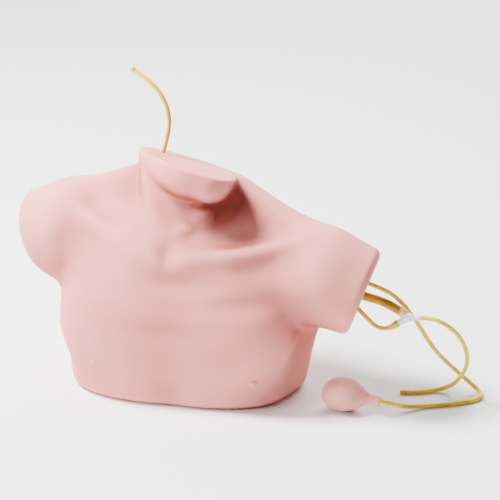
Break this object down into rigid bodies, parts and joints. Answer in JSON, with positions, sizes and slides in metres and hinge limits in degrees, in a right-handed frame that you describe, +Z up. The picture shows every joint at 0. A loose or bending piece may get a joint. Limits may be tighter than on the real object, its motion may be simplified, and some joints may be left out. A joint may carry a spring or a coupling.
{
  "type": "central venous access trainer",
  "caption": "Soft moulded chest, shoulder and neck bust for needle practice, with inner vein tubes, outer latex lines, a Y connector and a squeeze bulb.",
  "frame": {"origin": "centre of the bust, on the plane that it stands on", "axes": "+Z up, -Y the way the chest faces, +X towards the bust's left arm"},
  "size_m": [0.5367, 0.168, 0.361],
  "materials": {
    "skin": "soft matt vinyl with a faint orange-peel grain",
    "foam": "soft open foam",
    "panel": "matt",
    "bone": "smooth",
    "joint": "moulded",
    "stopper": "moulded",
    "sleeve": "moulded",
    "thick_tube": "natural latex, semi-matt",
    "thin_tube": "natural latex, semi-matt",
    "bulb": "matt",
    "clear_fitting": "translucent moulding"
  },
  "bodies": {
    "root": {"torso_skin": "skin", "foam_core": "foam", "base_panel": "panel", "sternum": "bone", "clavicle_left": "bone", "clavicle_right": "bone", "vein_hub": "joint", "neck_joint": "joint", "subclavian_plug": "stopper", "artery_plug": "stopper", "bulb_line_sleeve": "sleeve", "vein_sleeve": "sleeve", "return_sleeve": "sleeve", "neck_sleeve": "sleeve", "vein_limb": "thick_tube", "jugular_vein": "thick_tube", "subclavian_vein": "thick_tube", "return_line": "thin_tube", "artery": "thin_tube", "neck_lead": "thin_tube", "neck_tube": "thin_tube", "vein_tube": "thick_tube", "link_tube": "thin_tube", "loop_tube": "thin_tube", "bulb_line": "thin_tube", "squeeze_bulb": "bulb", "y_connector": "clear_fitting"}
  },
  "joints": []
}
